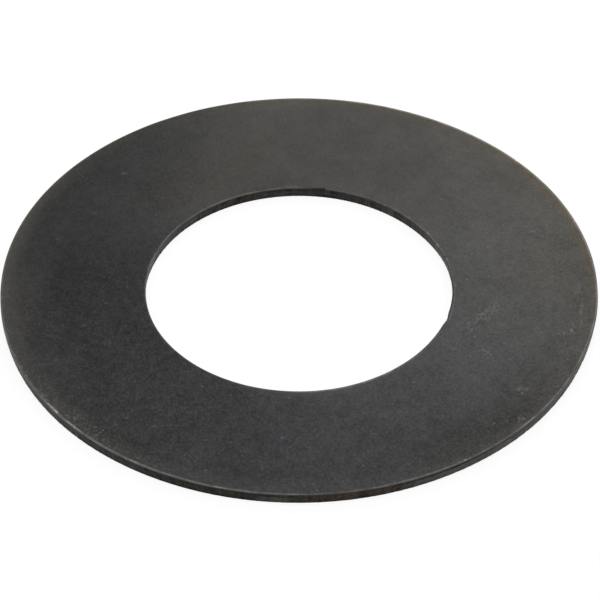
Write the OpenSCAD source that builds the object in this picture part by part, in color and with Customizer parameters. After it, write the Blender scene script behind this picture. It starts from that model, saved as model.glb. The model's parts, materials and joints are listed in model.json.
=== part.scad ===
// Shim washer: one flat ring of sheet steel, blanked and pierced in one press stroke.
// It lies with its rounded side up and its origin at the centre of the underside.
// Sizes in millimetres.

/* [Ring] */
// Outside diameter of the ring
outer_d = 80; // [60:0.5:120]
// Diameter of the bore: the pin and its running clearance
bore_d = 41; // [10:0.5:52]
// Thickness of the sheet
sheet_t = 1.6; // [1:0.1:4]

/* [Outer edge] */
// How far in from the rim's straight wall the top face starts to roll over
rim_roll_w = 0.3; // [0.15:0.01:0.6]
// How far the top face has dropped where it meets that wall
rim_roll_drop = 0.12; // [0.05:0.01:0.14]
// Height of the straight, burnished wall below the roll
rim_land_h = 0.55; // [0.2:0.01:0.75]
// How far the torn wall below it draws in towards the underside
rim_break_w = 0.16; // [0.02:0.01:0.3]

/* [Bore edge] */
// How far out from the bore's straight wall the top face starts to roll over
bore_roll_w = 0.3; // [0.15:0.01:0.6]
// How far the top face has dropped where it meets that wall
bore_roll_drop = 0.12; // [0.05:0.01:0.14]
// Height of the straight, burnished wall that guides the pin
bore_land_h = 0.55; // [0.2:0.01:0.75]
// How far the torn wall below it opens out towards the underside
bore_break_w = 0.2; // [0.02:0.01:0.3]

/* [Hidden] */

outer_r = outer_d / 2;
bore_r = bore_d / 2;
half_band = (outer_r - bore_r) / 2;

// Steps that show the ring and the arcs of its section as round
ring_steps = 360;
arc_steps = 120;

// Radius of an arc that leaves the face at a tangent and falls by drop over a width w
function roll_r(w, drop) = (w * w + drop * drop) / (2 * drop);

// The section of one edge, with the straight wall on x = 0 and the metal at x < 0.
// From the top: the rolled shoulder, the burnished wall and the torn slope.
module edge_section(roll_w, roll_drop, land_h, break_w) {
    wall_top = sheet_t - roll_drop;
    arc_r = roll_r(roll_w, roll_drop);
    polygon([
        [-half_band, 0],
        [-break_w, 0],
        [0, wall_top - land_h],
        [0, wall_top],
        [-roll_w, wall_top],
        [-roll_w, sheet_t],
        [-half_band, sheet_t]
    ]);
    intersection() {
        translate([-roll_w, sheet_t - arc_r])
            circle(r = arc_r, $fn = arc_steps);
        translate([-roll_w, wall_top])
            square([roll_w, roll_drop]);
    }
}

module shim_washer() {
    color([0.27, 0.27, 0.28])
        rotate_extrude($fn = ring_steps)
            union() {
                translate([outer_r, 0])
                    edge_section(rim_roll_w, rim_roll_drop, rim_land_h, rim_break_w);
                translate([bore_r, 0])
                    mirror([1, 0])
                        edge_section(bore_roll_w, bore_roll_drop, bore_land_h, bore_break_w);
            }
}

shim_washer();
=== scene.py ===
import json
import math
import bpy
import numpy as np
from mathutils import Matrix, Vector


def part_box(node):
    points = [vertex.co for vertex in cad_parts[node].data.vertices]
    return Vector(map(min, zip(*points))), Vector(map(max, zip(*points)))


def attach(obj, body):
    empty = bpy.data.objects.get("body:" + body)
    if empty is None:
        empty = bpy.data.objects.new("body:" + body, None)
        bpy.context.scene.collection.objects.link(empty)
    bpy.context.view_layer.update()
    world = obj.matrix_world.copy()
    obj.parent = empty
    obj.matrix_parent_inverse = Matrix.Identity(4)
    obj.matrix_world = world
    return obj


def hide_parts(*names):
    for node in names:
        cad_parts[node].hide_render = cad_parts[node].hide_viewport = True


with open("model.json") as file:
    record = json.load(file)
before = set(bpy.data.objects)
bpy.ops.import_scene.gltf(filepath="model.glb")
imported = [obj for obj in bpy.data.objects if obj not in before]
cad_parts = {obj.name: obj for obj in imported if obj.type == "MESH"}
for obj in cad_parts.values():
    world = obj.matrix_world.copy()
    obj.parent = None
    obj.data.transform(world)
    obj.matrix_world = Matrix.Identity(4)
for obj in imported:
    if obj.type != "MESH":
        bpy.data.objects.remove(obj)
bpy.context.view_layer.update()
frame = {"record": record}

mm = 0.001

# sizes that the model fixes: the ring's box and its bore
washerLow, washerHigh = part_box("shim_washer")
mounts = {mount["name"]: mount for mount in frame["record"]["mounts"]}
thickness = washerHigh[2]
rimRadius = max(abs(value) for corner in (washerLow, washerHigh) for value in corner[:2])
boreRadius = mounts["bore"]["dims"]["r_mm"] * mm
print("frame loaded: rim radius", round(rimRadius / mm, 2), "mm, bore", round(boreRadius / mm, 2), "mm")


# The ring is one closed section carried round its axis. Both edges come from one press
# stroke, so each has, from the top: a rolled shoulder, a burnished land and a torn slope.
# A mark is (size it changes, angle in degrees, reach before it, reach after it, amount).
# Paint is (mask, zones of the edge, angle in degrees, reach before, reach after, amount); beside wear
# and tints it holds painted highlights and painted shade.
# Angles go round from +X towards +Y.
ring = {
    "stepsRound": 1440,
    "cornerRows": 3,                 # rows of the mesh across each stretch of the section
    "tornRows": 9,
    "landRows": 4,
    "rollRows": 7,
    "marginWidth": 0.2 * mm,         # the first row of the face beside a shoulder
    "faceRows": 14,
    "underRows": 3,
    "bothEdges": {
        "rollWidth": 0.15 * mm,      # where the face starts to roll over
        "rollDrop": 0.045 * mm,      # how far it has dropped at the wall
        "rollWaver": 0.10,           # share by which the shoulder's size wavers
        "rollWaves": (2, 40),        # fewest and most waves in one turn
        "wearGlintAtFace": 0.7,            # share of the wear and painted highlight that is left where the face begins
        "landHeight": 0.55 * mm,     # the straight, burnished band
        "slowWaves": (3, 30),        # how the line between land and tear wanders
        "fastWaves": (30, 260),
        "slowShare": 0.6,
        "tearDepth": 0.022 * mm,     # roughness of the torn slope, which is streaks and pits
        "tearLimits": (-0.04 * mm, 0.08 * mm),
        "tearTaper": 0.7,            # a low power keeps it rough nearly to both ends
        "streakWaves": (60, 420),
        "streakShare": 0.7,
        "pitWaves": (160, 600),
        "pitShift": 40,              # degrees by which the pits move on from foot to land
        "breakWaver": 0.008 * mm,    # roughness of the slope's lower end
        "footShade": 0.55,           # painted shade: how much darker the torn slope is at its foot
        "cornerRadius": 0.04 * mm,   # what tumbling took off the lower corner
    },
    "rimEdge": {
        "side": 1,                   # the metal lies inside this wall
        "radius": rimRadius,
        "breakWidth": 0.17 * mm,     # how far the torn slope draws in
        "landWander": 0.08 * mm,     # how far the line between land and tear wanders
        "seed": 11,
        "wornAndHighlit": 0.6,               # how bare handling has left the shoulder, with a painted highlight there as well
        "marks": [
            ("rollWidth", 216.6, 1.2, 1.2, 0.20 * mm),     # a facet knocked on the rim
            ("rollDrop", 216.6, 1.2, 1.2, 0.12 * mm),
            # the rim a little out of round
            ("radius", 6, 8, 11, 0.06 * mm),
            ("radius", 354, 5, 5, 0.08 * mm),
            ("radius", 339, 4, 5, -0.03 * mm),
            ("radius", 319, 11, 11, 0.05 * mm),
            ("radius", 183, 20, 20, -0.03 * mm),
            # less land and more shoulder at places
            ("landHeight", 318, 24, 24, -0.22 * mm),
            ("rollWidth", 54, 16, 16, 0.09 * mm),
            ("rollDrop", 54, 16, 16, 0.05 * mm),
            ("rollWidth", 108, 20, 16, 0.07 * mm),
            ("rollDrop", 108, 20, 16, 0.04 * mm),
            ("breakWidth", 318, 24, 16, 0.04 * mm),
            ("breakWidth", 222, 14, 20, -0.04 * mm),
        ],
        "paint": [
            # on the shoulder: wear, with a painted highlight laid over it
            ("wornAndHighlit", "roll", 222, 16, 18, 0.65),
            ("wornAndHighlit", "roll", 246, 10, 12, -0.1),
            ("wornAndHighlit", "roll", 180, 18, 20, 0.7),
            ("wornAndHighlit", "roll", 85, 40, 25, 0.4),
            ("wornAndHighlit", "roll", 272, 14, 14, -0.4),
            ("wornAndHighlit", "roll", 328, 18, 12, 0.08),
            # on the wall: its tone, with painted light and shade in lighter streaks and darker
            # stretches
            ("wallToneAndPaintedLight", "torn land", 213, 12, 12, -0.35),
            ("wallToneAndPaintedLight", "torn land", 250, 20, 12, -0.1),
            ("wallToneAndPaintedLight", "torn", 265, 3.5, 3.5, 0.9),
            ("wallToneAndPaintedLight", "torn", 263, 0.8, 0.8, 0.4),
            ("wallToneAndPaintedLight", "torn", 266.2, 1, 1, 0.3),
            ("wallToneAndPaintedLight", "torn", 296, 5, 6, 0.6),
            ("wallToneAndPaintedLight", "torn", 308, 16, 16, 1.3),
            ("wallToneAndPaintedLight", "torn", 310.5, 0.6, 0.6, 0.8),
            ("wallToneAndPaintedLight", "torn", 312.8, 0.5, 0.5, 0.8),
            ("wallToneAndPaintedLight", "torn", 293.0, 0.4, 0.4, 0.6),
            ("wallToneAndPaintedLight", "land", 304, 12, 10, -0.3),
            ("wallToneAndPaintedLight", "land", 332, 14, 16, 0.9),
            ("wallToneAndPaintedLight", "torn", 322, 12, 16, 0.4),
            ("wallBrown", "torn land", 288.2, 14, 0.4, 3.0),
            ("wallBrown", "torn land", 231, 2.5, 2.5, 0.5),
            ("wallOlive", "torn land", 241.8, 1.8, 1.8, 1.0),
            ("wallOlive", "torn land", 248, 4, 4, 0.7),
            ("wallOlive", "torn land", 256, 7, 7, 1.0),
            ("wallOlive", "torn land", 316, 20, 30, 0.8),
            ("wallToneAndPaintedLight", "torn land", 316, 20, 30, 0.1),
        ],
    },
    "boreEdge": {
        "side": -1,                  # and outside this one
        "radius": boreRadius - 0.05 * mm,              # punches wear, so the hole comes out small
        "breakWidth": 0.20 * mm,
        "landWander": 0.07 * mm,
        "seed": 23,
        "wornAndHighlit": 0.2,
        "marks": [
            ("rollWidth", 80.0, 0.4, 1.2, 0.14 * mm),      # a step in the shoulder
            ("rollDrop", 80.0, 0.4, 6.0, 0.06 * mm),
            ("rollWidth", 285, 40, 30, 0.09 * mm),
            ("rollDrop", 285, 40, 30, 0.02 * mm),
            ("radius", -18.2, 2.4, 2.2, 0.16 * mm),        # a nick
            # the hole a little out of round
            ("radius", -7.0, 28.0, 17.0, 0.17 * mm),
            ("radius", 200.0, 22.0, 24.0, 0.10 * mm),
            ("radius", 15.0, 8.0, 16.0, 0.045 * mm),
            ("breakWidth", 160, 18, 16, -0.04 * mm),
            ("breakWidth", 20.0, 8.0, 10.0, 0.06 * mm),
        ],
        "paint": [
            # on the shoulder: wear, with a painted highlight laid over it
            ("wornAndHighlit", "roll", 152, 16, 16, 0.25),
            ("wornAndHighlit", "roll", 122, 13, 12, 0.3),
            ("wornAndHighlit", "roll", 36, 20, 18, 0.2),
            ("wornAndHighlit", "roll", 290, 30, 30, 0.5),
            # painted shade: the shoulder's highlight dimmed here
            ("wornAndHighlit", "roll", 350, 14, 14, -0.25),
            ("toneAndPaintedLight", "roll", 352, 12, 12, -0.12),
            # painted shade on the step in the shoulder
            ("wornAndHighlit", "roll", 80.0, 0.4, 5.0, -0.5),
            ("toneAndPaintedLight", "roll", 80.0, 0.4, 5.0, -0.7),
            # on the wall: its tone, with painted light and shade
            ("wallToneAndPaintedLight", "torn land", 135, 3, 4, 0.4),
            ("wallToneAndPaintedLight", "torn land", 164, 12, 16, -0.3),
            ("wallToneAndPaintedLight", "torn", 93, 6, 10, 0.35),
            ("wallToneAndPaintedLight", "torn land", 79, 5, 4, -0.2),
            ("wallToneAndPaintedLight", "torn land", 52, 1.5, 1.5, 0.9),
            ("wallToneAndPaintedLight", "torn land", 42, 20, 18, -0.15),
            ("wallBrown", "torn land roll", 109.8, 3.0, 3.0, 0.5),
        ],
    },
}


def degreesFrom(angle, at):
    # how far past an angle, the shorter way round, from -180 to 180
    return (angle - at + 180) % 360 - 180


def softBump(angle, at, before, after):
    # 1 at an angle, falling away as exp(-(d / reach) ** 2), with d the degrees from it and a
    # reach of its own on either side
    d = degreesFrom(angle, at)
    return np.exp(-(d / np.where(d < 0, before, after)) ** 2)


def closedWave(angle, waves, seed):
    # Noise that closes on itself: the sum over k waves in a turn of h cos(k angle + phase),
    # divided by its standard deviation. Phases and heights come from the seed, and h falls
    # as 1 / sqrt(k).
    rng = np.random.default_rng(seed)
    k = np.arange(waves[0], waves[1] + 1)
    phase = rng.uniform(0, 2 * math.pi, k.size)
    h = rng.normal(0, 1, k.size) / np.sqrt(k)
    wave = (h[:, None] * np.cos(k[:, None] * np.radians(angle).ravel() + phase[:, None])).sum(axis=0)
    return (wave / wave.std()).reshape(angle.shape)


def shares(first, second, firstShare):
    # the mean of two, weighted
    return firstShare * first + (1 - firstShare) * second


def edgeSheet(edge, angle):
    # The surface of one cut edge on a grid of angle and row, from the underside to the face.
    # Corner: quarter circle. Torn slope: the inset falls in a straight line to 0 at the land,
    # and noise times sin(pi t) to a power is added to it, with t from 0 at the foot to 1 at
    # the land. Land: inset 0. Shoulder: an arc whose slope goes from e at the wall to 0 at the
    # face, so inset w (1 - sin b / sin e) and height top - d (1 - cos b) / (1 - cos e), with
    # tan (e / 2) = d / w.
    changing = ("radius", "rollWidth", "rollDrop", "landHeight", "breakWidth")
    size = {name: edge[name] + 0 * angle for name in changing}
    for name, at, before, after, amount in edge["marks"]:
        size[name] += amount * softBump(angle, at, before, after)
    waver = 1 + edge["rollWaver"] * closedWave(angle, edge["rollWaves"], edge["seed"])
    w, d = size["rollWidth"] * waver, size["rollDrop"] * waver
    landTop = thickness - d
    slow = closedWave(angle, edge["slowWaves"], edge["seed"] + 1)
    fast = closedWave(angle, edge["fastWaves"], edge["seed"] + 2)
    landLow = landTop - size["landHeight"] - edge["landWander"] * shares(slow, fast, edge["slowShare"])
    c = edge["cornerRadius"]
    streaks = closedWave(angle, edge["streakWaves"], edge["seed"] + 3)
    size["breakWidth"] += edge["breakWaver"] * streaks

    turn = np.linspace(0, math.pi / 2, ring["cornerRows"] + 1)[:-1]
    cornerInset = size["breakWidth"] + c * (1 - np.sin(turn))
    cornerHeight = c * (1 - np.cos(turn)) + 0 * angle

    t = np.linspace(0, 1, ring["tornRows"])
    pits = closedWave(angle + edge["pitShift"] * t, edge["pitWaves"], edge["seed"] + 4)
    tear = edge["tearDepth"] * shares(streaks, pits, edge["streakShare"])
    tear = np.clip(tear * np.sin(math.pi * t) ** edge["tearTaper"], *edge["tearLimits"])
    tornInset = size["breakWidth"] * (1 - t) + tear
    tornHeight = c + (landLow - c) * t

    s = np.linspace(0, 1, ring["landRows"] + 1)[1:-1]
    landInset = np.zeros((angle.size, s.size))
    landHeight = landLow + (landTop - landLow) * s

    e = 2 * np.arctan2(d, w)
    b = e * np.linspace(1, 0, ring["rollRows"])
    rollInset = w * (1 - np.sin(b) / np.sin(e))
    rollHeight = thickness - d * (1 - np.cos(b)) / (1 - np.cos(e))

    marginInset = w + ring["marginWidth"]
    inset = np.concatenate([cornerInset, tornInset, landInset, rollInset, marginInset], axis=1)
    marginHeight = thickness + 0 * w
    height = np.concatenate([cornerHeight, tornHeight, landHeight, rollHeight, marginHeight], axis=1)
    zone = np.repeat(
        ["under", "corner", "torn", "land", "roll", "face"],
        [1, turn.size - 1, t.size, s.size, ring["rollRows"], 1])
    masks = {name: 0 * inset for name in ("wornAndHighlit", "toneAndPaintedLight", "wallToneAndPaintedLight", "wallBrown", "wallOlive")}
    masks["wornAndHighlit"] += edge["wornAndHighlit"] * (zone == "roll")
    for name, zones, at, before, after, amount in edge["paint"]:
        masks[name] += amount * softBump(angle, at, before, after) * np.isin(zone, zones.split())
    nearWall = np.zeros(zone.size)
    nearWall[zone == "roll"] = np.linspace(1, 0, ring["rollRows"])
    masks["wornAndHighlit"] *= shares(1, nearWall, edge["wearGlintAtFace"])
    # painted shade, darker towards the foot of the torn slope
    nearFoot = 1.0 * (zone == "corner")
    nearFoot[zone == "torn"] = 1 - t
    masks["wallToneAndPaintedLight"] -= edge["footShade"] * nearFoot
    return size["radius"] - edge["side"] * inset, height, zone, masks


def ringSheet():
    # The whole section on a grid of angle and row: outwards along the underside, up the
    # rim, inwards along the face and down the bore. Flats are straight lines between edges.
    angle = (np.arange(ring["stepsRound"]) * 360 / ring["stepsRound"])[:, None]
    rimR, rimZ, rimZone, rimMasks = edgeSheet({**ring["bothEdges"], **ring["rimEdge"]}, angle)
    boreR, boreZ, boreZone, boreMasks = edgeSheet({**ring["bothEdges"], **ring["boreEdge"]}, angle)
    u = np.linspace(0, 1, ring["underRows"] + 2)[1:-1]
    f = np.linspace(0, 1, ring["faceRows"] + 2)[1:-1]
    under = boreR[:, :1] + (rimR[:, :1] - boreR[:, :1]) * u
    face = rimR[:, -1:] + (boreR[:, -1:] - rimR[:, -1:]) * f
    radius = np.concatenate([under, rimR, face, boreR[:, ::-1]], axis=1)
    height = np.concatenate([0 * under, rimZ, thickness + 0 * face, boreZ[:, ::-1]], axis=1)
    underZone, faceZone = np.repeat("under", u.size), np.repeat("face", f.size)
    zone = np.concatenate([underZone, rimZone, faceZone, boreZone[::-1]])
    masks = {
        name: np.concatenate([0 * under, rimMasks[name], 0 * face, boreMasks[name][:, ::-1]], axis=1)
        for name in rimMasks
    }
    return np.repeat(angle, zone.size, axis=1), radius, height, zone, masks


def loopFaces(turns, rows):
    # Four-sided faces of a grid that closes both ways: the face at turn i and row j joins
    # (i, j), (i + 1, j), (i + 1, j + 1) and (i, j + 1), and counts past the last wrap round.
    i = np.arange(turns)[:, None]
    j = np.arange(rows)[None, :]
    nextI, nextJ = (i + 1) % turns, (j + 1) % rows
    corners = [i * rows + j, nextI * rows + j, nextI * rows + nextJ, i * rows + nextJ]
    return np.stack(corners, axis=-1).reshape(-1, 4)


def meshObject(name, points, quads):
    # a smooth-shaded object of four-sided faces
    mesh = bpy.data.meshes.new(name)
    mesh.vertices.add(len(points))
    mesh.vertices.foreach_set("co", points.astype(np.float32).ravel())
    mesh.loops.add(quads.size)
    mesh.loops.foreach_set("vertex_index", quads.astype(np.int32).ravel())
    mesh.polygons.add(len(quads))
    mesh.polygons.foreach_set("loop_start", np.arange(0, quads.size, 4, dtype=np.int32))
    mesh.polygons.foreach_set("use_smooth", np.ones(len(quads), dtype=bool))
    mesh.update(calc_edges=True)
    piece = bpy.data.objects.new(name, mesh)
    bpy.context.scene.collection.objects.link(piece)
    return piece


angle, radius, height, zone, edgeMasks = ringSheet()
turn = np.radians(angle)
points = np.stack([radius * np.cos(turn), radius * np.sin(turn), height], axis=-1).reshape(-1, 3)
steelRing = meshObject("steel_ring", points, loopFaces(*angle.shape))
print("ring built:", 2 * angle.size, "triangles")


# Broad unevenness of the blackening, and painted light and shade, as soft patches on the ring:
# (angle in degrees, distance from the axis in mm, reach round in mm, reach across in mm, amount)
blackening = {
    # lighter and darker blackening, together with painted light and shade: brighter bands by the rims
    # and darker stretches that stand in for how light falls
    "toneAndPaintedLight": [
        (93, 21.2, 0.9, 0.4, 0.35),
        (278, 21.0, 12, 0.22, 0.35),
        (92, 39.0, 13, 0.9, 0.16),
        (101, 38, 8, 3, 0.1),
        (168, 39.5, 18, 0.45, 0.35),
        (148, 38, 10, 1.5, -0.1),
        (313, 36.4, 17, 3.2, -0.26),
        (8, 37.5, 14, 3, -0.12),
        (126, 22, 6.5, 3, 0.28),
        (118, 27, 5, 4, 0.12),
        (177, 35.3, 6.5, 2.8, 0.3),
        (109, 32.5, 7, 4, 0.11),
        (205, 23, 16, 2.2, -0.1),
        (300, 28.5, 9, 6, -0.1),
        (208, 35.5, 7, 3, 0.1),
        (60, 27, 6, 4, -0.07),
        (228, 37.9, 15, 1.1, -0.18),
        (314, 38.3, 12, 1.1, -0.16),
        (156, 38, 4, 1.2, -0.2),
        (74, 21.4, 1.5, 0.7, 0.25),
        (133, 21.6, 2, 0.9, 0.2),
        (249, 26.5, 5, 4, -0.1),
        (205, 39.2, 40, 1.4, 0.6),
        (163, 39.4, 13, 1.4, 0.3),
        (190, 37.5, 20, 3.0, 0.2),
        (182, 30, 14, 9, -0.1),
        (100, 37, 8, 7, 0.2),
        (110, 31, 14, 12, 0.15),
        (152, 28, 7, 9, 0.15),
        (58, 33, 16, 12, -0.15),
        (174, 33, 8, 8, -0.15),
    ],
    "straw": [                   # a thin straw tint that the edges took from the bath
        (31.5, 20.8, 0.5, 0.4, 0.5),
        (37.3, 20.9, 0.4, 0.5, 0.5),
        (25, 40, 24, 0.9, 1.0),
        (78, 40, 24, 0.8, 0.5),
        (142, 40, 28, 0.8, 0.52),
    ],
    "speckled": [                # more flecks, most of them near knocks on the rim
        (225, 31, 34, 18, 0.32),
        (211, 38.9, 2.2, 0.8, 1.0),
        (221, 38.8, 3.5, 0.8, 0.7),
        (236, 39.0, 9, 0.6, 0.5),
        (300, 39.4, 14, 0.5, 0.5),
        (328, 38.5, 8, 0.9, 0.2),
    ],
    "smoother": [                # fainter grain and marks
        (90, 34, 42, 30, 0.5),
        (158, 34, 14, 20, 0.2),
    ],
    "warmer": [
        (109.5, 21.1, 1.2, 0.7, 1.0),
        (120, 25, 9, 6, 0.45),
        (4, 32, 8, 5, 0.3),
        (98, 32, 10, 7, 0.25),
        (186, 36.2, 7, 1.5, 0.5),
        (325, 38, 22, 3.0, 0.45),
        (48, 30, 20, 12, 0.15),
        (55, 31, 45, 40, 0.45),
        (25, 39, 22, 3.0, 0.7),
        (75, 39.3, 28, 1.5, 0.4),
        (182, 39, 20, 1.8, 0.6),
        (228, 38.5, 12, 2.0, 0.5),
    ],
    "cooler": [
        (262, 30, 12, 9, 0.6),
        (168, 32, 8, 4, 0.5),
    ],
}


def patches(spots):
    # sum of amount * exp(-(round / reach) ** 2 - (across / reach) ** 2) over the spots
    total = np.zeros(angle.shape)
    for at, middle, reachRound, reachAcross, amount in spots:
        swing = np.radians(degreesFrom(angle, at)) * middle
        step = radius / mm - middle
        total += amount * np.exp(-(swing / reachRound) ** 2 - (step / reachAcross) ** 2)
    return total


def pointMask(piece, name, values):
    layer = piece.data.attributes.new(name, "FLOAT", "POINT")
    layer.data.foreach_set("value", (values + 0 * angle).astype(np.float32).ravel())


soft = {name: patches(spots) for name, spots in blackening.items()}
masks = {
    **edgeMasks,
    "torn": np.isin(zone, ("torn", "corner")),
    "toneAndPaintedLight": edgeMasks["toneAndPaintedLight"] + soft["toneAndPaintedLight"],
    "smoother": soft["smoother"],
    "speckled": soft["speckled"],
    "straw": soft["straw"],
    "warmer": soft["warmer"] - soft["cooler"],
}
for maskName, values in masks.items():
    pointMask(steelRing, maskName, values)
print("masks written")


def feed(tree, socket, value):
    # links a socket, or writes a plain value
    if isinstance(value, bpy.types.NodeSocket):
        tree.links.new(value, socket)
    else:
        socket.default_value = value


def newNode(tree, kind, **values):
    node = tree.nodes.new(kind)
    for name, value in values.items():
        feed(tree, node.inputs[name], value)
    return node


def calc(tree, operation, *values):
    node = tree.nodes.new("ShaderNodeMath")
    node.operation = operation
    for socket, value in zip(node.inputs, values):
        feed(tree, socket, value)
    return node.outputs[0]


def vectorCalc(tree, operation, *values):
    node = tree.nodes.new("ShaderNodeVectorMath")
    node.operation = operation
    for socket, value in zip(node.inputs, values):
        feed(tree, socket, value)
    return node.outputs["Value" if operation in ("DOT_PRODUCT", "LENGTH") else "Vector"]


def scaled(tree, vector, amount):
    node = tree.nodes.new("ShaderNodeVectorMath")
    node.operation = "SCALE"
    feed(tree, node.inputs["Vector"], vector)
    feed(tree, node.inputs["Scale"], amount)
    return node.outputs["Vector"]


def ramp(tree, value, start, end, low=0.0, high=1.0):
    # smooth step from low at start to high at end
    node = tree.nodes.new("ShaderNodeMapRange")
    node.interpolation_type = "SMOOTHSTEP"
    names = ("Value", "From Min", "From Max", "To Min", "To Max")
    for name, number in zip(names, (value, start, end, low, high)):
        feed(tree, node.inputs[name], number)
    return node.outputs["Result"]


def blend(tree, amount, first, second):
    # from the first colour at 0 to the second at 1
    node = tree.nodes.new("ShaderNodeMix")
    node.data_type = "RGBA"
    sockets = {socket.identifier: socket for socket in (*node.inputs, *node.outputs)}
    feed(tree, sockets["Factor_Float"], amount)
    feed(tree, sockets["A_Color"], first)
    feed(tree, sockets["B_Color"], second)
    return sockets["Result_Color"]


def noise(tree, vector, scale, detail, roughness):
    # noise moved to swing round 0
    node = newNode(
        tree, "ShaderNodeTexNoise", Vector=vector, Scale=scale, Detail=detail, Roughness=roughness)
    return calc(tree, "SUBTRACT", node.outputs["Fac"], 0.5)


def readMask(tree, name):
    node = tree.nodes.new("ShaderNodeAttribute")
    node.attribute_name = name
    return node.outputs["Fac"]


def newGroup(name, inputs, outputs):
    # a shader node group with named inputs (name, kind, value) and outputs (name, kind)
    group = bpy.data.node_groups.new(name, "ShaderNodeTree")
    for label, kind, value in inputs:
        socket = group.interface.new_socket(name=label, in_out="INPUT", socket_type="NodeSocket" + kind)
        if value is not None:
            socket.default_value = value
    for label, kind in outputs:
        group.interface.new_socket(name=label, in_out="OUTPUT", socket_type="NodeSocket" + kind)
    return group, group.nodes.new("NodeGroupInput").outputs, group.nodes.new("NodeGroupOutput").inputs


def useGroup(tree, group, values):
    node = tree.nodes.new("ShaderNodeGroup")
    node.node_tree = group
    for name, value in values.items():
        feed(tree, node.inputs[name], value)
    return node.outputs


def makeOxideGrain():
    # fine and coarse grain and slower clouds of a chemically blackened surface
    group, given, result = newGroup(
        "oxideGrain",
        [("Vector", "Vector", None), ("Squeeze", "Vector", (1.0, 1.0, 1.0)),
         ("Grain Size", "Float", 0.3 * mm), ("Crispness", "Float", 0.65),
         ("Coarse Ratio", "Float", 2.5), ("Coarse Share", "Float", 0.8),
         ("Cloud Size", "Float", 4.0 * mm)],
        [("Grain", "Float"), ("Clouds", "Float"), ("Height", "Float")])
    squeezed = vectorCalc(group, "MULTIPLY", given["Vector"], given["Squeeze"])
    density = calc(group, "DIVIDE", 1.0, given["Grain Size"])
    coarseDensity = calc(group, "DIVIDE", density, given["Coarse Ratio"])
    cloudDensity = calc(group, "DIVIDE", 1.0, given["Cloud Size"])
    fine = noise(group, squeezed, density, detail=3.0, roughness=given["Crispness"])
    coarse = noise(group, squeezed, coarseDensity, detail=2.0, roughness=0.5)
    cloud = noise(group, given["Vector"], cloudDensity, detail=3.0, roughness=0.6)
    grain = calc(group, "MULTIPLY_ADD", coarse, given["Coarse Share"], fine)
    feed(group, result["Grain"], grain)
    feed(group, result["Clouds"], cloud)
    feed(group, result["Height"], calc(group, "ADD", grain, 0.5))     # a height that swings round 0.5
    return group


def makeLightFlecks():
    # scattered light specks: round a share of the cells of a Voronoi pattern, each of its own size
    group, given, result = newGroup(
        "lightFlecks",
        [("Vector", "Vector", None), ("Spacing", "Float", 1.2 * mm), ("Size", "Float", 0.15),
         ("Smallest", "Float", 0.3), ("Share", "Float", 0.3)],
        [("Mask", "Float")])
    density = calc(group, "DIVIDE", 1.0, given["Spacing"])
    cells = newNode(group, "ShaderNodeTexVoronoi", Vector=given["Vector"], Scale=density)
    lots = newNode(group, "ShaderNodeSeparateColor", Color=cells.outputs["Color"]).outputs
    there = calc(group, "LESS_THAN", lots["Red"], given["Share"])
    reach = calc(group, "MULTIPLY", given["Size"], calc(group, "ADD", lots["Green"], given["Smallest"]))
    speck = ramp(group, cells.outputs["Distance"], reach, 0.0)
    feed(group, result["Mask"], calc(group, "MULTIPLY", there, speck))
    return group


def makeHairScratches():
    # short straight scratches: the specks of a Voronoi pattern turned and drawn out
    group, given, result = newGroup(
        "hairScratches",
        [("Vector", "Vector", None), ("Angle", "Float", 0.0), ("Length", "Float", 6.0 * mm),
         ("Width", "Float", 0.5 * mm), ("Share", "Float", 0.1), ("Side", "Float", 0.28),
         ("Core", "Float", 0.05)],
        [("Mask", "Float")])
    turned = newNode(group, "ShaderNodeVectorRotate", Vector=given["Vector"], Angle=given["Angle"])
    turned.rotation_type = "Z_AXIS"
    stretch = newNode(
        group, "ShaderNodeCombineXYZ",
        X=calc(group, "DIVIDE", 1.0, given["Length"]), Y=calc(group, "DIVIDE", 1.0, given["Width"]))
    drawn = vectorCalc(group, "MULTIPLY", turned.outputs["Vector"], stretch.outputs["Vector"])
    cells = newNode(group, "ShaderNodeTexVoronoi", Vector=drawn, Scale=1.0)
    lots = newNode(group, "ShaderNodeSeparateColor", Color=cells.outputs["Color"]).outputs
    there = calc(group, "LESS_THAN", lots["Red"], given["Share"])
    hair = ramp(group, cells.outputs["Distance"], given["Side"], given["Core"])
    feed(group, result["Mask"], calc(group, "MULTIPLY", there, hair))
    return group


def makeEdgeWearAndGlint():
    # where handling has worn the blackening off an edge, and where a painted highlight lies on it: a
    # mask broken up by noise
    group, given, result = newGroup(
        "edgeWearAndGlint",
        [("Mask", "Float", 0.0), ("Vector", "Vector", None), ("Breakup Size", "Float", 1.5 * mm),
         ("Cover", "Float", 0.2), ("Softness", "Float", 0.3), ("Least", "Float", 0.35)],
        [("Wear Glint Mask", "Float")])
    density = calc(group, "DIVIDE", 1.0, given["Breakup Size"])
    slow = noise(group, given["Vector"], density, detail=4.0, roughness=0.65)
    covered = calc(group, "ADD", slow, given["Cover"])
    level = ramp(group, covered, 0.0, given["Softness"], given["Least"], 1.0)
    feed(group, result["Wear Glint Mask"], calc(group, "MULTIPLY", given["Mask"], level))
    return group


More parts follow.
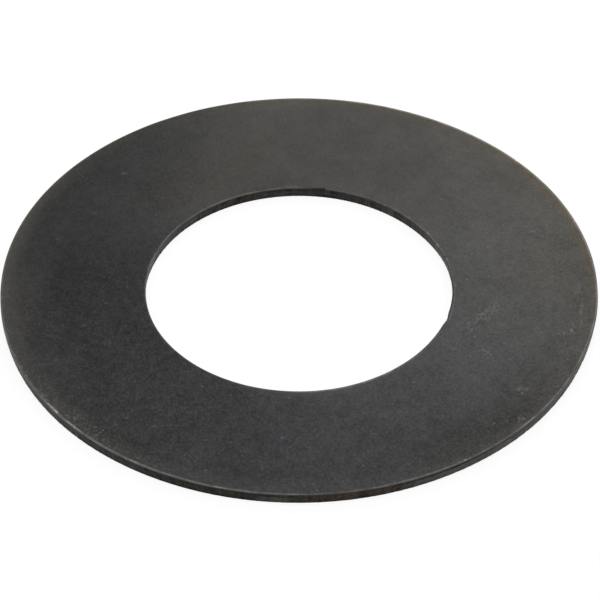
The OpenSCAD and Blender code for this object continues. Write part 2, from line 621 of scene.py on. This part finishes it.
def makeStroke():
    # one nick or scratch: 1 on the line between two points, falling to 0 a width away from it
    group, given, result = newGroup(
        "stroke",
        [("Vector", "Vector", None), ("From", "Vector", None), ("To", "Vector", None),
         ("Width", "Float", 0.1 * mm)],
        [("Mask", "Float")])
    along = vectorCalc(group, "SUBTRACT", given["To"], given["From"])
    away = vectorCalc(group, "SUBTRACT", given["Vector"], given["From"])
    reached = vectorCalc(group, "DOT_PRODUCT", away, along)
    share = calc(group, "DIVIDE", reached, vectorCalc(group, "DOT_PRODUCT", along, along))
    held = calc(group, "MINIMUM", calc(group, "MAXIMUM", share, 0.0), 1.0)
    gap = vectorCalc(group, "SUBTRACT", away, scaled(group, along, held))
    feed(group, result["Mask"], ramp(group, vectorCalc(group, "LENGTH", gap), given["Width"], 0.0))
    return group


oxideGrain = makeOxideGrain()
lightFlecks = makeLightFlecks()
hairScratches = makeHairScratches()
edgeWearAndGlint = makeEdgeWearAndGlint()
stroke = makeStroke()
print("effect groups made")

bareSteelAndGlintColour = (0.190, 0.185, 0.174, 1)       # where the blackening is worn off, and the painted highlight on the shoulders
face = {
    "colour": (0.0437, 0.0438, 0.0437, 1),
    "warmColour": (0.0467, 0.0448, 0.0402, 1),
    "coolColour": (0.0428, 0.0424, 0.0465, 1),
    "strawColour": (0.060, 0.050, 0.034, 1),
    "grainSize": 0.42 * mm,
    "rolling": (1.2, 0.9, 1.0),            # the grain runs the way the sheet was rolled
    "crispness": 0.4,
    "coarseShare": 0.6,
    "cloudSize": 4.0 * mm,
    "grainContrast": 1.1,
    "cloudContrast": 0.5,
    "fleckSpacing": 0.75 * mm,
    "fleckSize": 0.18,                     # next to the spacing
    "fleckShare": 0.22,
    "fleckAmount": 1.8,
    "speckleShare": 0.5,                   # what a speckled patch adds to the share
    "speckleAmount": 2.0,                  # and to the amount
    "speckleScuff": 0.3,                   # and how scuffed it is
    "hairs": [                   # turn in radians, length and width in mm, share of places
        (0.4, 1.8, 0.50, 0.06),
        (1.9, 1.6, 0.50, 0.06),
        (2.7, 2.4, 0.50, 0.04),
    ],
    "hairAmount": 0.35,
    "scuffs": [                  # broken up by the grain; from x, y to x, y and width in mm, amount
        (25.9, -3.7, 24.8, -5.6, 1.6, 0.65),
        (24.0, -6.3, 22.8, -8.4, 1.8, 0.5),
        (29.1, -20.5, 29.4, -20.2, 1.0, 1.2),
        (36.4, -8.9, 36.2, -9.3, 0.8, 1.1),
        (34.9, -9.4, 34.7, -9.4, 0.6, 1.1),
        (29.1, -16.8, 29.3, -16.6, 1.0, 0.4),
        (26.9, -26.4, 29.2, -25.7, 1.0, 0.9),
        (19.6, -11.5, 21.0, -12.5, 1.2, 0.4),
        (24.2, -12.5, 25.3, -13.9, 1.2, 0.4),
        (31.3, 12.6, 32.3, 11.2, 1.2, 0.35),
        (37.2, -1.0, 37.8, -5.8, 0.6, 0.4),
        (-29.7, 23.5, -29.0, 22.2, 1.2, 0.8),
        (-29.4, -24.7, -26.5, -28.0, 2.0, 0.5),
        (-26.5, -28.0, -23.6, -30.4, 1.6, 0.5),
    ],
    "scuffedGrain": (-0.05, 0.25),         # the grain that a scuff has taken
    "nicks": [                   # single specks and scratches, given as scuffs are
        # a broken scratch along the rim at the right
        (37.4, 1.2, 37.8, -1.6, 0.16, 0.4),
        (37.9, -3.0, 37.9, -4.6, 0.16, 0.35),
        (37.7, -6.6, 37.1, -9.3, 0.16, 0.4),
        (36.2, -6.9, 36.6, -8.2, 0.16, 0.35),
        # back left
        (-24.1, 23.7, -23.9, 23.7, 0.5, 1.4),
        (-32.8, 9.9, -32.6, 9.9, 0.35, 0.9),
        (-30.9, 15.5, -30.6, 15.5, 0.35, 0.6),
        (-27.9, 15.3, -27.5, 15.3, 0.35, 0.7),
        # left and front left
        (-23.0, 0.0, -23.0, 2.5, 0.18, 0.4),
        (-25.9, -3.0, -25.5, -3.1, 0.25, 0.8),
        (-28.7, -7.6, -28.3, -7.5, 0.25, 0.8),
        (-28.3, -15.6, -27.9, -15.5, 0.25, 0.8),
        (-30.1, -21.4, -29.7, -21.3, 0.25, 0.8),
        (-19.5, -21.7, -19.1, -21.6, 0.25, 0.8),
        (-19.0, -27.2, -18.6, -27.1, 0.25, 0.8),
        (-28.4, -25.6, -28.0, -25.5, 0.25, 0.8),
        (-33.6, -21.0, -33.1, -21.3, 0.18, 0.9),
        (-33.0, -21.9, -32.7, -22.2, 0.16, 0.7),
        (-30.4, -24.9, -29.9, -25.0, 0.16, 1.0),
        # front
        (-12.1, -35.4, -11.9, -35.4, 0.22, 1.0),
        (-12.2, -29.8, -12.0, -29.7, 0.22, 0.8),
        (25.1, -26.9, 25.4, -26.7, 0.25, 1.2),
        # chips on the bore's edge
        (-1.6, 20.9, -0.2, 20.9, 0.5, 0.3),
        (11.7, 16.9, 12.0, 16.7, 0.25, 0.7),
        (17.5, 11.1, 17.7, 10.8, 0.25, 0.8),
        (18.7, 8.8, 18.9, 8.2, 0.25, 0.6),
        (20.0, 5.7, 20.1, 5.3, 0.25, 0.8),
    ],
    "rimHighlights": [                # inset from the rim in mm, from angle to angle, width, amount; painted highlights
        # a thin painted highlight along the front shoulder, in stretches
        (0.16, 222, 229, 0.14, 0.45),
        (0.16, 229, 236, 0.14, 0.45),
        (0.16, 238, 244, 0.14, 0.5),
        (0.16, 244, 250, 0.14, 1.0),
        (0.16, 250, 253, 0.14, 0.5),
        (0.16, 256, 262, 0.14, 0.7),
        (0.16, 262, 268, 0.14, 0.6),
        (0.16, 268, 271.2, 0.14, 1.3),
        (0.16, 272.9, 276, 0.14, 0.6),
        (0.16, 280, 284, 0.14, 0.4),
        (0.16, 286, 291.5, 0.14, 0.35),
        (0.16, 294, 299, 0.14, 0.3),
        # painted glints on the shoulder, the first two on the knocked facet
        (0.14, 214.6, 217.8, 0.13, 2.2),
        (0.14, 215.8, 217.8, 0.13, 1.6),
        (0.15, 220.9, 222.1, 0.12, 0.8),
        (0.17, 220.9, 225.1, 0.12, 0.6),
        (0.15, 236.9, 238.3, 0.12, 1.1),
        (0.15, 254.3, 256.2, 0.12, 1.6),
        (0.15, 302.3, 302.7, 0.12, 1.5),
        (0.15, 317, 320, 0.12, 0.8),
    ],
    "boreLines": [               # painted bright lines along the bore as well, at its back and its right
        (0.15, 110, 100, 0.15, 0.5),
        (0.15, 100, 96.5, 0.15, 0.7),
        (0.55, 2, -5, 0.14, 0.5),
        (0.58, -5, -12, 0.14, 0.5),
        (0.61, -12, -18.3, 0.14, 0.5),
    ],
    "roughness": 0.42,
    "grainRoughness": 0.12,
    "wearGlintRoughness": -0.06,
    "bump": 0.5,
    "grainDepth": 0.02 * mm,
    "wearGlintBreakup": 2.0 * mm,
    "wearGlintCover": 0.2,
}
wall = {
    "landColour": (0.0256, 0.0244, 0.0226, 1),
    "tornColour": (0.0306, 0.0292, 0.0266, 1),
    "brownColour": (0.033, 0.0250, 0.019, 1),
    "oliveColour": (0.0225, 0.0206, 0.0165, 1),
    "roughness": 0.46,
    "streakRoughness": 0.2,
    "tornRoughness": 0.12,
    "streakSize": 0.7 * mm,
    "streakContrast": 2.3,
    "cloudSize": 5.0 * mm,
    "flatten": (1.0, 1.0, 0.12),           # upright streaks
    "pitSize": 0.3 * mm,
    "pitCloudSize": 2.0 * mm,
    "pitContrast": 2.6,
    "brownSpread": 2.0,                    # how far clouds push the brown about
    "brownFrom": (0.2, 1.0),               # where it starts to show and is full
    "bump": 0.8,
    "bumpDepth": 0.08 * mm,
}


def newMaterial(name):
    material = bpy.data.materials.new(name)
    material.use_nodes = True
    return material, material.node_tree


def toned(tree, colour, amount, least=0.15):
    # a colour made lighter or darker, but never black
    return scaled(tree, colour, calc(tree, "MAXIMUM", amount, least))


def chords(lines, edge):
    # strokes along an edge: from (d cos start, d sin start) to (d cos end, d sin end), with d
    # the edge's radius less side * inset
    strokes = []
    for inset, start, end, width, amount in lines:
        d = edge["radius"] / mm - edge["side"] * inset
        first, last = math.radians(start), math.radians(end)
        ends = (d * math.cos(first), d * math.sin(first), d * math.cos(last), d * math.sin(last))
        strokes.append((*ends, width, amount))
    return strokes


def addStrokes(tree, place, strokes, total):
    # total and, for each stroke on the upper face, its mask times its amount
    for x1, y1, x2, y2, width, amount in strokes:
        mark = useGroup(tree, stroke, {
            "Vector": place, "Width": width * mm,
            "From": (x1 * mm, y1 * mm, thickness), "To": (x2 * mm, y2 * mm, thickness)})
        total = calc(tree, "MULTIPLY_ADD", mark["Mask"], amount, total)
    return total


def blackFaceMaterial():
    material, tree = newMaterial("blackened_face")
    shader = tree.nodes["Principled BSDF"]
    place = newNode(tree, "ShaderNodeTexCoord").outputs["Object"]
    grain = useGroup(tree, oxideGrain, {
        "Vector": place, "Squeeze": face["rolling"], "Grain Size": face["grainSize"],
        "Crispness": face["crispness"], "Coarse Share": face["coarseShare"],
        "Cloud Size": face["cloudSize"]})
    speckled = readMask(tree, "speckled")
    flecks = useGroup(tree, lightFlecks, {
        "Vector": place, "Spacing": face["fleckSpacing"], "Size": face["fleckSize"],
        "Share": calc(tree, "MULTIPLY_ADD", speckled, face["speckleShare"], face["fleckShare"])})
    wearAndGlint = useGroup(tree, edgeWearAndGlint, {
        "Mask": readMask(tree, "wornAndHighlit"), "Vector": place, "Breakup Size": face["wearGlintBreakup"],
        "Cover": face["wearGlintCover"]})["Wear Glint Mask"]
    hairs = 0.0
    for turnBy, length, width, share in face["hairs"]:
        hair = useGroup(tree, hairScratches, {
            "Vector": place, "Angle": turnBy, "Share": share,
            "Length": length * mm, "Width": width * mm})
        hairs = calc(tree, "MAXIMUM", hairs, hair["Mask"])
    marks = addStrokes(tree, place, face["nicks"], calc(tree, "MULTIPLY", hairs, face["hairAmount"]))
    # painted highlights: the bright lines and glints along the rim's shoulder and the bore
    marks = addStrokes(tree, place, chords(face["rimHighlights"], ring["rimEdge"]), marks)
    marks = addStrokes(tree, place, chords(face["boreLines"], ring["boreEdge"]), marks)
    scuffed = calc(tree, "MULTIPLY", speckled, face["speckleScuff"])
    scuffs = addStrokes(tree, place, face["scuffs"], scuffed)
    taken = ramp(tree, grain["Grain"], *face["scuffedGrain"])
    marks = calc(tree, "MULTIPLY_ADD", scuffs, taken, marks)
    fleckLevel = calc(tree, "MULTIPLY_ADD", speckled, face["speckleAmount"], face["fleckAmount"])
    fleckLevel = calc(tree, "ADD", fleckLevel, wearAndGlint)
    marks = calc(tree, "MULTIPLY_ADD", flecks["Mask"], fleckLevel, marks)

    tint = readMask(tree, "warmer")
    colour = blend(tree, ramp(tree, tint, 0.0, 1.0), face["colour"], face["warmColour"])
    colour = blend(tree, ramp(tree, tint, 0.0, -1.0), colour, face["coolColour"])
    colour = blend(tree, readMask(tree, "straw"), colour, face["strawColour"])
    sharpness = calc(tree, "SUBTRACT", 1.0, readMask(tree, "smoother"))
    mottle = calc(tree, "MULTIPLY", grain["Grain"], face["grainContrast"])
    # the colour made lighter and darker by uneven blackening and by painted light and shade
    toneWithLight = calc(tree, "ADD", readMask(tree, "toneAndPaintedLight"), 1.0)
    toneWithLight = calc(tree, "MULTIPLY_ADD", mottle, sharpness, toneWithLight)
    toneWithLight = calc(tree, "MULTIPLY_ADD", grain["Clouds"], face["cloudContrast"], toneWithLight)
    # bare steel where worn, and the painted highlight along the shoulders
    wearAndGlintColour = blend(tree, wearAndGlint, toned(tree, colour, toneWithLight), bareSteelAndGlintColour)
    speck = calc(tree, "MULTIPLY_ADD", marks, sharpness, 1.0)
    feed(tree, shader.inputs["Base Color"], toned(tree, wearAndGlintColour, speck))
    shader.inputs["Metallic"].default_value = 1.0
    rough = calc(tree, "MULTIPLY_ADD", grain["Grain"], face["grainRoughness"], face["roughness"])
    feed(tree, shader.inputs["Roughness"], calc(tree, "MULTIPLY_ADD", wearAndGlint, face["wearGlintRoughness"], rough))
    bump = newNode(
        tree, "ShaderNodeBump", Strength=face["bump"], Distance=face["grainDepth"],
        Height=grain["Height"])
    feed(tree, shader.inputs["Normal"], bump.outputs["Normal"])
    return material


def shearedWallMaterial():
    material, tree = newMaterial("sheared_wall")
    shader = tree.nodes["Principled BSDF"]
    place = newNode(tree, "ShaderNodeTexCoord").outputs["Object"]
    pressed = vectorCalc(tree, "MULTIPLY", place, wall["flatten"])
    streaks = useGroup(tree, oxideGrain, {
        "Vector": pressed, "Grain Size": wall["streakSize"], "Cloud Size": wall["cloudSize"]})
    pits = useGroup(tree, oxideGrain, {
        "Vector": place, "Grain Size": wall["pitSize"], "Cloud Size": wall["pitCloudSize"]})
    torn = readMask(tree, "torn")
    colour = blend(tree, torn, wall["landColour"], wall["tornColour"])
    browned = readMask(tree, "wallBrown")
    browned = calc(tree, "MULTIPLY_ADD", streaks["Clouds"], wall["brownSpread"], browned)
    colour = blend(tree, ramp(tree, browned, *wall["brownFrom"]), colour, wall["brownColour"])
    colour = blend(tree, readMask(tree, "wallOlive"), colour, wall["oliveColour"])
    toneWithLight = calc(tree, "MULTIPLY_ADD", streaks["Grain"], wall["streakContrast"], 1.0)
    rough = calc(tree, "MULTIPLY", pits["Grain"], torn)
    toneWithLight = calc(tree, "MULTIPLY_ADD", rough, wall["pitContrast"], toneWithLight)
    # the wall's tone with painted light and shade, and the painted shade at its foot
    toneWithLight = calc(tree, "ADD", toneWithLight, readMask(tree, "wallToneAndPaintedLight"))
    # bare steel where worn, and the painted highlight at the top of the wall
    wearAndGlintColour = blend(tree, readMask(tree, "wornAndHighlit"), toned(tree, colour, toneWithLight), bareSteelAndGlintColour)
    feed(tree, shader.inputs["Base Color"], wearAndGlintColour)
    shader.inputs["Metallic"].default_value = 1.0
    dull = calc(tree, "MULTIPLY_ADD", torn, wall["tornRoughness"], wall["roughness"])
    dull = calc(tree, "MULTIPLY_ADD", streaks["Grain"], wall["streakRoughness"], dull)
    feed(tree, shader.inputs["Roughness"], dull)
    bump = newNode(
        tree, "ShaderNodeBump", Strength=wall["bump"], Distance=wall["bumpDepth"],
        Height=blend(tree, torn, streaks["Height"], pits["Height"]))
    feed(tree, shader.inputs["Normal"], bump.outputs["Normal"])
    return material


steelRing.data.materials.append(blackFaceMaterial())
steelRing.data.materials.append(shearedWallMaterial())
wallRow = np.isin(zone, ("corner", "torn", "land"))
wallFace = wallRow | np.roll(wallRow, -1)
steelRing.data.polygons.foreach_set("material_index", (wallFace + 0 * angle).astype(np.int32).ravel())

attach(steelRing, "root")
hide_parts("shim_washer")
print("finishes made")


studio = {
    "floorSize": 4.0,            # metres
    "floorDrop": 0.02 * mm,      # so that floor and underside don't lie in one plane
    "floorColour": (0.8, 0.8, 0.8, 1),         # by which the floor lights the ring
    "floorGlow": 0.88,                         # what the camera and mirrors see of it instead
    "shadowColour": (0.15, 0.15, 0.15, 1),     # and what it adds outside a shadow
    "worldGrey": 0.65,
    "softBoxes": [               # name, place in mm, width and height in mm, brightness
        ("back_right_box", (45, 120, 85), (90, 95), 2.2),
        ("top_box", (0, -60, 320), (200, 200), 1.6),
    ],
}


def softBox(name, place, size, brightness):
    # a rectangular lamp that faces the ring's centre; its power is pi * area * brightness
    lamp = bpy.data.lights.new(name, "AREA")
    lamp.shape = "RECTANGLE"
    lamp.size, lamp.size_y = size[0] * mm, size[1] * mm
    lamp.energy = math.pi * lamp.size * lamp.size_y * brightness
    box = bpy.data.objects.new(name, lamp)
    box.location = Vector(place) * mm
    box.rotation_euler = Vector(place).to_track_quat("Z", "Y").to_euler()
    box.visible_camera = False
    bpy.context.scene.collection.objects.link(box)


def whiteFloorMaterial():
    # plain for the light that falls on the ring, white to the camera and clear from below
    material, tree = newMaterial("white_floor")
    tree.nodes.clear()
    rays = newNode(tree, "ShaderNodeLightPath").outputs
    mirrored = calc(tree, "MAXIMUM", rays["Is Glossy Ray"], rays["Is Transmission Ray"])
    seen = calc(tree, "MAXIMUM", rays["Is Camera Ray"], mirrored)
    plain = newNode(tree, "ShaderNodeBsdfDiffuse", Color=studio["floorColour"])
    shadowed = newNode(tree, "ShaderNodeBsdfDiffuse", Color=studio["shadowColour"])
    glow = newNode(tree, "ShaderNodeEmission", Strength=studio["floorGlow"])
    white = newNode(tree, "ShaderNodeAddShader")
    feed(tree, white.inputs[0], shadowed.outputs[0])
    feed(tree, white.inputs[1], glow.outputs[0])
    above = newNode(tree, "ShaderNodeMixShader", Fac=seen)
    feed(tree, above.inputs[1], plain.outputs[0])
    feed(tree, above.inputs[2], white.outputs[0])
    fromBelow = newNode(tree, "ShaderNodeNewGeometry").outputs["Backfacing"]
    oneSided = newNode(tree, "ShaderNodeMixShader", Fac=fromBelow)
    feed(tree, oneSided.inputs[1], above.outputs[0])
    feed(tree, oneSided.inputs[2], newNode(tree, "ShaderNodeBsdfTransparent").outputs[0])
    newNode(tree, "ShaderNodeOutputMaterial", Surface=oneSided.outputs[0])
    return material


half = studio["floorSize"] / 2
corners = np.array([[-half, -half, 0], [half, -half, 0], [half, half, 0], [-half, half, 0]])
corners[:, 2] -= studio["floorDrop"]
floor = meshObject("studio_floor", corners, np.array([[0, 1, 2, 3]]))
floor.data.materials.append(whiteFloorMaterial())

world = bpy.data.worlds.new("studio_room")
world.use_nodes = True
background = world.node_tree.nodes["Background"]
background.inputs["Color"].default_value = (1, 1, 1, 1)
background.inputs["Strength"].default_value = studio["worldGrey"]
bpy.context.scene.world = world
for box in studio["softBoxes"]:
    softBox(*box)
print("studio lit:", len(studio["softBoxes"]), "soft boxes")

shot = {
    "elevation": 41.77,                   # degrees above the floor, looking along +Y
    "distance": 16.008 * rimRadius,
    "aim": (0.00439 * rimRadius, -0.01983 * rimRadius, 0.0),     # just off the ring's centre
    "roll": -0.168,                       # degrees
    "lens": 286.354,                      # mm, on a sensor of this width
    "sensorWidth": 36,
    "clipEnd": 20,                        # metres
}
tilt = math.radians(shot["elevation"])
back = Vector((0, -math.cos(tilt), math.sin(tilt)))
camera = bpy.data.objects.new("camera", bpy.data.cameras.new("camera"))
camera.data.lens = shot["lens"]
camera.data.sensor_width = shot["sensorWidth"]
camera.data.clip_end = shot["clipEnd"]
camera.matrix_world = (
    Matrix.Translation(Vector(shot["aim"]) + back * shot["distance"])
    @ back.to_track_quat("Z", "Y").to_matrix().to_4x4()
    @ Matrix.Rotation(math.radians(shot["roll"]), 4, "Z")
)
bpy.context.scene.collection.objects.link(camera)
bpy.context.scene.camera = camera
bpy.context.scene.view_settings.view_transform = "Standard"
print("camera set")
